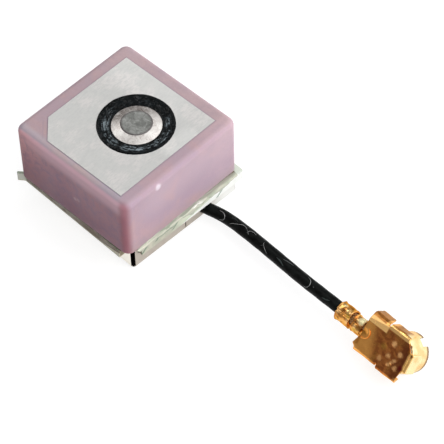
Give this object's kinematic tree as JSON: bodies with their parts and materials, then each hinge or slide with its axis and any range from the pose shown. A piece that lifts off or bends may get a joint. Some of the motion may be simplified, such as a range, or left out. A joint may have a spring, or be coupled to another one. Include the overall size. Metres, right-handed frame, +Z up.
{
  "type": "gps patch antenna",
  "caption": "Square ceramic patch antenna with a silver cut-corner electrode and ringed feed pin, on a board with a tin shield can, and a short black coaxial cable with a gold push-on plug",
  "frame": {"origin": "centre of the antenna body's box, without the cable and plug, on the resting face of the shield can", "axes": "+Z up, out of the silver top face; +X towards the side that the cable leaves; +Y along the other side of the board, right-handed"},
  "size_m": [0.0288, 0.0105, 0.0071],
  "materials": {
    "ceramic": "smooth glazed grey with a mauve tinge",
    "fired_silver": "matte fired silver",
    "black_resin": "glossy black resin",
    "pin_metal": "tinned, dull satin",
    "solder": "bright satin solder",
    "adhesive": "soft whitish adhesive",
    "board_laminate": "dark olive laminate",
    "tin_plate": "smooth tin plate",
    "chip_resin": "matte black resin",
    "filter_case": "pale ceramic case with a metal lid",
    "capacitor_ceramic": "tan ceramic with tinned ends",
    "inductor_ceramic": "grey ceramic with tinned ends",
    "resistor_ceramic": "dark ceramic with tinned ends",
    "cable_black": "satin black",
    "braid_metal": "tinned braid",
    "dielectric_white": "milky",
    "core_metal": "silvered wire",
    "gold_plate": "thin gold plate, polished",
    "plug_polymer": "off-white"
  },
  "bodies": {
    "root": {"ceramic_block": "ceramic", "top_electrode": "fired_silver", "feed_land": "fired_silver", "insulating_ring": "black_resin", "ground_electrode": "fired_silver", "feed_pin": "pin_metal", "pin_top_solder": "solder", "adhesive_pad": "adhesive", "circuit_board": "board_laminate", "ground_rim": "tin_plate", "solder_pads": "tin_plate", "pin_solder_joint": "solder", "shield_can": "tin_plate", "can_solder": "solder", "amplifier_chip": "chip_resin", "saw_filter": "filter_case", "chip_capacitors": "capacitor_ceramic", "chip_inductors": "inductor_ceramic", "chip_resistors": "resistor_ceramic", "cable_jacket": "cable_black", "cable_braid": "braid_metal", "cable_dielectric": "dielectric_white", "cable_core": "core_metal", "braid_solder": "solder", "core_solder": "solder", "plug_shell": "gold_plate", "plug_insulator": "plug_polymer", "plug_contact": "gold_plate"}
  },
  "joints": []
}
